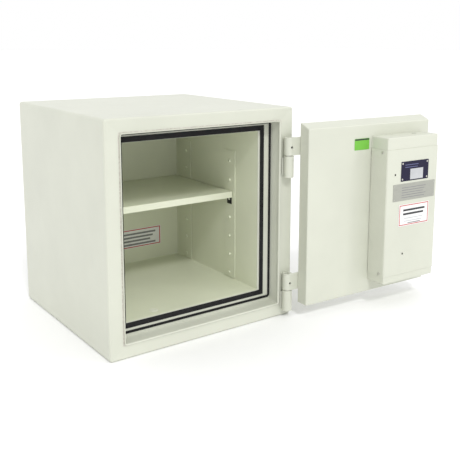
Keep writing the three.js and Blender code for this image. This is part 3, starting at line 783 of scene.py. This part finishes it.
def turns(count):
    return [math.tau * i / count for i in range(count)]


def hexagon_point(flat, angle, level):
    """A point of a hexagon with half its flats' distance, in the direction of an angle."""
    local = (angle + math.radians(30)) % math.radians(60) - math.radians(30)
    r = flat / math.cos(local)
    return Vector((r * math.cos(angle), level, r * math.sin(angle)))


# ---- door ----
SKIN = drawn("door_outer_skin")
PAN = drawn("door_inner_pan")
SPINDLE_AT = drawn_point(JOINTS["handle_turn"]["pos_m"], DOOR)
KEYHOLE_AT = drawn_point(JOINTS["key_turn"]["pos_m"], DOOR)
BEVEL_START = 6
BEVEL_DROP = 13
EDGE_TAPER = 2.5
DOOR_DEPTH = PAN.y1
DOOR_PLATE = 4
FILL = drawn("door_insulation")
DOOR_ROOM = inset(face_rect(FILL), -GAP)
SPINDLE_HOLE = 6.3
KEY_HOLE = 7.3


def door_outline(y):
    """The slab's rectangle at a depth. The free edge tapers, and the top slopes down behind BEVEL_START."""
    slope = max(0, (y - BEVEL_START) / (DOOR_DEPTH - BEVEL_START))
    return (SKIN.x0 + EDGE_TAPER * y / DOOR_DEPTH, SKIN.x1, SKIN.z0, SKIN.z1 - BEVEL_DROP * slope)


def door_hole_cutters():
    return [
        (hole((at.x, 0, at.z), "y", radius, -2, DOOR_DEPTH + 2), DOOR)
        for at, radius in ((SPINDLE_AT, SPINDLE_HOLE), (KEYHOLE_AT, KEY_HOLE))
    ]


def door_rings(ys, radius):
    return [rounded(door_outline(y), radius, y) for y in ys]


def door_face_rings(y, inward, edge, corner):
    """Rings of a rounded edge that ends in the face at y, the slab lying inward of it."""
    rings = []
    for sideways, up in quarter():
        level = y + inward * edge * up
        rings.append(rounded(inset(door_outline(level), edge * sideways), corner - edge * sideways, level))
    return rings


def door_skin():
    edge, corner = 2.5, 3.2
    rings = list(reversed(door_face_rings(0, 1, edge, corner)))
    rings += door_rings((BEVEL_START, SKIN.y1), corner)
    rings += [rounded(DOOR_ROOM, 1, SKIN.y1), rounded(DOOR_ROOM, 1, DOOR_PLATE)]
    bm = bmesh.new()
    loft(bm, rings, cap_first=True, cap_last=True)
    made = dress("door_outer_skin", bm)
    for cutter in door_hole_cutters():
        carve(made, cutter)


def door_pan():
    edge, corner = 3.0, 3.6
    rings = [rounded(DOOR_ROOM, 1, PAN.y1 - THIN), rounded(DOOR_ROOM, 1, PAN.y0)]
    rings += door_rings((PAN.y0,), corner) + door_face_rings(PAN.y1, -1, edge, corner)
    bm = bmesh.new()
    loft(bm, rings, cap_first=True, cap_last=True)
    made = dress("door_inner_pan", bm)
    for cutter in door_hole_cutters():
        carve(made, cutter)


# ---- lock case ----
CASE = drawn("lock_case_base")
COVER = drawn("lock_case_cover")
COVER_THICK = 1.5
CASE_BEND = 3
BOLT_CLEARANCE = 0.6
CASE_WINDOW = (94, 275, 114, 462)  # the base's opening under the cover
COVER_HOLES = ((255, 402), (214, 162))  # (x, z) of the two round holes in the cover's face
COVER_HOLE_RADIUS = 3.2
TOP_SLOT = {"x": 140, "y": 62, "length": 18, "width": 12}


def bolt_holes(x, reach):
    """Cutters for the bolts' holes through a side of the case at x."""
    for node in BOLT_NODES:
        box = drawn(node)
        radius = (box.z1 - box.z0) / 2 + BOLT_CLEARANCE
        yield hole(bolt_centre(node, x), "x", radius, -reach, reach), DOOR


def lock_case():
    """A folded tray, open under the cover, with a slot in its top and the bolts' holes in its side."""
    outer, inner = face_rect(CASE), inset(face_rect(CASE), SHEET)
    rings = [rounded(outer, CASE_BEND, CASE.y0)]
    for sideways, up in quarter():
        by = CASE_BEND * sideways
        rings.append(rounded(inset(outer, by), CASE_BEND - by, CASE.y1 - CASE_BEND * up))
    rings += [rounded(CASE_WINDOW, 2, level) for level in (CASE.y1, CASE.y1 - SHEET)]
    rings += [rounded(inner, 1, level) for level in (CASE.y1 - SHEET, CASE.y0)]
    bm = bmesh.new()
    loft(bm, rings, closed=True)
    made = dress("lock_case_base", bm)
    x, y = TOP_SLOT["x"], TOP_SLOT["y"]
    half_length, half_width = TOP_SLOT["length"] / 2, TOP_SLOT["width"] / 2
    slot_box = Box(
        x - half_length, x + half_length, y - half_width, y + half_width, CASE.z1 - SHEET - 2, CASE.z1 + 2
    )
    slot = bmesh.new()
    soft_box(slot, slot_box, 0.2, half_width - 0.1, "z")
    carve(made, (slot, DOOR), *bolt_holes(CASE.x0, SHEET + 1))


def cover_outline():
    """The cover's section across Z: a channel with rounded bends, open towards the door."""
    outer_bend = CASE_BEND + COVER_THICK
    left, right = COVER.x0 + COVER_THICK, COVER.x1 - COVER_THICK
    inner_face = COVER.y1 - COVER_THICK
    outline = [(COVER.x0, COVER.y0)]
    outline += arc(COVER.x0 + outer_bend, COVER.y1 - outer_bend, outer_bend, 180, 90, 8)
    outline += arc(COVER.x1 - outer_bend, COVER.y1 - outer_bend, outer_bend, 90, 0, 8)
    outline += [(COVER.x1, COVER.y0), (right, COVER.y0)]
    outline += arc(right - CASE_BEND, inner_face - CASE_BEND, CASE_BEND, 0, 90, 8)
    outline += arc(left + CASE_BEND, inner_face - CASE_BEND, CASE_BEND, 90, 180, 8)
    outline += [(left, COVER.y0)]
    return outline


def lock_cover():
    bm = bmesh.new()
    extruded(bm, cover_outline(), COVER.z0, COVER.z1, "z", 0.7)
    made = dress("lock_case_cover", bm)
    reach = 2 * COVER_THICK
    for x, z in COVER_HOLES:
        carve(made, (hole((x, COVER.y1, z), "y", COVER_HOLE_RADIUS, -reach, reach), DOOR))
    carve(made, *bolt_holes(COVER.x0, reach))


def cover_screw(node):
    """A pan head along X with a cross recess."""
    box = drawn(node)
    free = "_free_" in node
    outward = -1 if free else 1
    seat = box.x0 if free else box.x1
    centre = Vector((seat, (box.y0 + box.y1) / 2, (box.z0 + box.z1) / 2))
    radius = (box.z1 - box.z0) / 2
    length = box.x1 - box.x0
    profile = [(0, 0), (1.2, 0), (2.6, -0.15), (radius - 0.5, -0.6), (radius, -1.1), (radius, -1.6)]
    profile += [(2, -1.6), (2, 0.5 - length), (1.4, -length), (0, -length)]
    bm = bmesh.new()
    turned(bm, centre, "x", [(r, outward * level) for r, level in profile], 32)
    made = dress(node, bm)
    for angle in (35, 125):
        blade = bmesh.new()
        soft_box(blade, Box(-0.9, 0.9, -0.45, 0.45, -2.3, 2.3), 0.1, 0.1, "z")
        turn = Matrix.Rotation(math.radians(angle), 3, "X")
        bmesh.ops.rotate(blade, cent=(0, 0, 0), matrix=turn, verts=blade.verts)
        bmesh.ops.translate(blade, vec=centre, verts=blade.verts)
        carve(made, (blade, DOOR))


# ---- plates and labels ----
PRINT_THICK = 0.12
PRINT_SUNK = 0.05  # how far print reaches into its plate


def faces_front(node):
    """The back wall's plate faces the cabinet's front. Those on the door face its back."""
    return node == "notice_plate"


def plate_ground(node, corner):
    """A plate or label, a little thinner than its CAD solid so that print fits on it. Returns its box."""
    box = drawn(node)
    if faces_front(node):
        ground = box._replace(y0=box.y0 + 2 * PRINT_THICK)
    else:
        ground = box._replace(y1=box.y1 - 2 * PRINT_THICK)
    bm = bmesh.new()
    soft_box(bm, ground, 0.15, corner)
    dress(node, bm)
    return ground


def printed(host, what, ground, marks, ink):
    """Flat print on a plate: each mark is (left, right, low, high) as shares of the plate, as it is read."""
    width, height = ground.x1 - ground.x0, ground.z1 - ground.z0
    bm = bmesh.new()
    for left, right, low, high in marks:
        if faces_front(host):
            x0, x1 = ground.x0 + left * width, ground.x0 + right * width
            y0, y1 = ground.y0 - PRINT_THICK, ground.y0 + PRINT_SUNK
        else:
            x0, x1 = ground.x1 - right * width, ground.x1 - left * width
            y0, y1 = ground.y1 - PRINT_SUNK, ground.y1 + PRINT_THICK
        soft_box(bm, Box(x0, x1, y0, y1, ground.z0 + low * height, ground.z0 + high * height), 0.04, 0.3)
    detail(f"{host}_{what}", host, bm, INKS[ink])


def text_lines(left, right, low, high, count, share=0.5, ragged=0.12):
    """Even blank bars where a label has lines of text."""
    pitch = (high - low) / count
    marks = []
    for i in range(count):
        short = ragged * ((i * 7) % 3) / 2 * (right - left)
        base = high - (i + 1) * pitch
        marks.append((left, right - short, base, base + pitch * share))
    return marks


def border(margin_x, margin_y, width_x, width_y):
    """Four bars round a plate, as shares of it."""
    left, right, low, high = margin_x, 1 - margin_x, margin_y, 1 - margin_y
    return [
        (left, right, low, low + width_y),
        (left, right, high - width_y, high),
        (left, left + width_x, low + width_y, high - width_y),
        (right - width_x, right, low + width_y, high - width_y),
    ]


def rivets(host, ground, margin, radius):
    """A low rivet head in each corner of a plate on the door."""
    profile = [(0, -0.3), (radius, -0.3), (radius, 0), (radius * 0.75, 0.12), (radius * 0.4, 0.2), (0, 0.23)]
    bm = bmesh.new()
    for x in (ground.x0 + margin, ground.x1 - margin):
        for z in (ground.z0 + margin, ground.z1 - margin):
            turned(bm, (x, ground.y1, z), "y", profile, 20)
    detail(f"{host}_rivets", host, bm, MATERIALS["zinc_plate"])


def rating_plate():
    ground = plate_ground("rating_plate", 1.5)
    printed("rating_plate", "field", ground, [(0.33, 0.80, 0.06, 0.60)], "ink_pale")
    printed("rating_plate", "lines", ground, text_lines(0.14, 0.62, 0.68, 0.92, 2, 0.3), "ink_blue")
    rivets("rating_plate", ground, 6, 2.8)


def maker_plate():
    ground = plate_ground("maker_plate", 1.5)
    printed("maker_plate", "lines", ground, text_lines(0.20, 0.78, 0.16, 0.88, 5, 0.26), "ink_grey")
    rivets("maker_plate", ground, 5, 1.6)


def service_label():
    ground = plate_ground("service_label", 2)
    printed("service_label", "border", ground, border(0.02, 0.035, 0.02, 0.036), "ink_red")
    printed("service_label", "title", ground, text_lines(0.14, 0.86, 0.50, 0.86, 2, 0.5), "ink_dark")
    printed("service_label", "lines", ground, text_lines(0.18, 0.80, 0.20, 0.46, 2, 0.26), "ink_pale")
    printed("service_label", "foot", ground, [(0.30, 0.72, 0.10, 0.14)], "ink_grey")


def test_label():
    ground = plate_ground("test_label", 1.5)
    printed("test_label", "band", ground, [(0.02, 0.98, 0.84, 0.97)], "ink_dark")


def notice_plate():
    ground = plate_ground("notice_plate", 2)
    printed("notice_plate", "border", ground, border(0.012, 0.035, 0.016, 0.045), "ink_red")
    printed("notice_plate", "lines", ground, text_lines(0.08, 0.9, 0.14, 0.88, 4, 0.5), "ink_grey")


# ---- bolts, handle and key cover ----
def bolt(node):
    box = drawn(node)
    bm = bmesh.new()
    profile = rod_profile((box.z1 - box.z0) / 2, box.x1 - box.x0, 1.5)
    turned(bm, bolt_centre(node, box.x0), "x", profile)
    dress(node, bm)


def handle_rose():
    rose = drawn("handle_rose")
    radius = (rose.x1 - rose.x0) / 2
    depth = rose.y1 - rose.y0
    profile = [(radius, 0), (radius, -depth * 0.35), (radius - 1.4, -depth * 0.75), (radius - 4, -depth)]
    profile += [(15.5, -depth), (15.0, -depth + 0.6), (SPINDLE_HOLE, -depth + 0.6), (SPINDLE_HOLE, 0)]
    bm = bmesh.new()
    turned(bm, (SPINDLE_AT.x, rose.y1, SPINDLE_AT.z), "y", profile, 64, closed=True)
    dress("handle_rose", bm)


def handle_lever():
    """A flat grip with a round end, on a necked hub."""
    lever = drawn("handle_lever")
    hub, half, grip_thick = 14, 10, 12
    foot = lever.z0 + half
    back = lever.y0 + grip_thick
    outline = arc(SPINDLE_AT.x, SPINDLE_AT.z, hub, -36, 216, 32)
    outline += arc(SPINDLE_AT.x, foot, half, 180, 360, 20)
    bm = bmesh.new()
    extruded(bm, outline, lever.y0, back, "y", 3.2, 5)
    length = lever.y1 - back + 2
    neck = [(0, 0), (hub - 1, 0), (hub - 0.2, -0.8), (hub - 2.2, -5), (hub - 2.2, 5 - length)]
    neck += [(hub - 0.4, -length), (0, -length)]
    turned(bm, (SPINDLE_AT.x, lever.y1, SPINDLE_AT.z), "y", neck, 64)
    dress("handle_lever", bm)


def key_escutcheon():
    plate = drawn("key_escutcheon")
    radius = (plate.x1 - plate.x0) / 2
    depth = plate.y1 - plate.y0
    profile = [(radius, 0), (radius, -depth * 0.5), (radius - 1.2, -depth)]
    profile += [(7.2, -depth), (6, -depth + 0.8), (6, 0)]
    bm = bmesh.new()
    turned(bm, (KEYHOLE_AT.x, plate.y1, KEYHOLE_AT.z), "y", profile, 48, closed=True)
    dress("key_escutcheon", bm)


def key_cover():
    """A drop-shaped cover hanging from its rivet over the keyhole."""
    cover = drawn("key_cover")
    pivot = drawn_point(JOINTS["keyhole_cover_swing"]["pos_m"], DOOR)
    low_radius = (cover.x1 - cover.x0) / 2
    outline = arc(pivot.x, pivot.z, 6, 0, 180, 16)
    outline += arc(pivot.x, cover.z0 + low_radius, low_radius, 180, 360, 28)
    bm = bmesh.new()
    extruded(bm, outline, cover.y0 + 0.5, cover.y0 + 2.4, "y", 0.7)
    rivet = [(0, 0.5), (3.4, 0.5), (3.1, 0.1), (2, 0), (0, 0)]
    turned(bm, (pivot.x, cover.y0, pivot.z), "y", rivet, 24)
    reach = cover.y1 - cover.y0 - 2.3
    stem = [(0, 0), (3.5, 0), (3.5, reach), (0, reach)]
    turned(bm, (pivot.x, cover.y0 + 2.3, pivot.z), "y", stem, 24)
    dress("key_cover", bm)


casing()
back_and_frame()
seal("outer_seal", 9, inset(face_rect(drawn("outer_seal")), OUTER_SEAL_WIDTH), 2.5)
seal("inner_seal", 0.5, hole_of("inner_seal"), 0.5)
liner()
anchor_cap()
for row in ("front", "rear"):
    for side in ("left", "right"):
        strip(f"shelf_strip_{row}_{side}")
        bevelled(f"shelf_clip_{row}_{side}", 0.4)
shelf()
for end in ("upper", "lower"):
    hinge_barrel(end)
    hinge_leaf(end)
    hinge_pin(end)
    socket_screw(f"hinge_grub_screw_{end}", 1.3, 2.2)
door_skin()
door_pan()
lock_case()
lock_cover()
for side in ("free", "hinge"):
    for end in ("lower", "upper"):
        cover_screw(f"cover_screw_{side}_{end}")
rating_plate()
maker_plate()
service_label()
test_label()
notice_plate()
for bolt_node in BOLT_NODES:
    bolt(bolt_node)
handle_rose()
handle_lever()
key_escutcheon()
key_cover()


# ---- floor, light and camera ----
def studio():
    floor_mesh = bpy.data.meshes.new("floor")
    reach = 40  # metres, so that the floor's edge is out of sight
    corners = [(-reach, -reach, 0), (reach, -reach, 0), (reach, reach, 0), (-reach, reach, 0)]
    floor_mesh.from_pydata(corners, [], [(0, 1, 2, 3)])
    floor = bpy.data.objects.new("floor", floor_mesh)
    floor.location.z = cad_bounds[0].z - 0.0005
    bpy.context.scene.collection.objects.link(floor)
    n = Nodes("floor")
    tone = n.ramp(n.noise(3, 2), [(0.3, (0.93, 0.93, 0.93)), (0.7, (0.95, 0.95, 0.95))])
    gloss = n.spread(n.noise(8, 2), 0.85, 0.95)
    floor_mesh.materials.append(n.shade(tone, gloss, n.bump(n.noise(200, 2), 0.05, 0.0002)))

    world = bpy.data.worlds.new("studio")
    bpy.context.scene.world = world
    world.use_nodes = True
    background = world.node_tree.nodes["Background"]
    background.inputs["Color"].default_value = (1, 1, 1, 1)
    background.inputs["Strength"].default_value = 1.0


def sun(name, towards, power, spread):
    """Sunlight from a direction, softened by its spread in degrees."""
    data = bpy.data.lights.new(name, "SUN")
    data.energy = power
    data.angle = math.radians(spread)
    light = bpy.data.objects.new(name, data)
    light.rotation_euler = Vector(towards).to_track_quat("Z", "Y").to_euler()
    bpy.context.scene.collection.objects.link(light)


CAMERA_AT = (-0.9991, -1.8051, 0.7837)
CAMERA_TURN = (80.18, -0.31, -36.70)  # degrees
LENS = 56.33
SHIFT = (-0.0449, -0.1444)


def camera():
    data = bpy.data.cameras.new("camera")
    data.lens = LENS
    data.shift_x, data.shift_y = SHIFT
    made = bpy.data.objects.new("camera", data)
    made.location = CAMERA_AT
    made.rotation_euler = [math.radians(a) for a in CAMERA_TURN]
    bpy.context.scene.collection.objects.link(made)
    bpy.context.scene.camera = made


studio()
sun("key", (-0.20, -0.68, 0.70), 0.95, 8)
sun("right_fill", (0.62, -0.62, 0.48), 0.35, 14)
camera()
bpy.context.scene.view_settings.view_transform = "Standard"
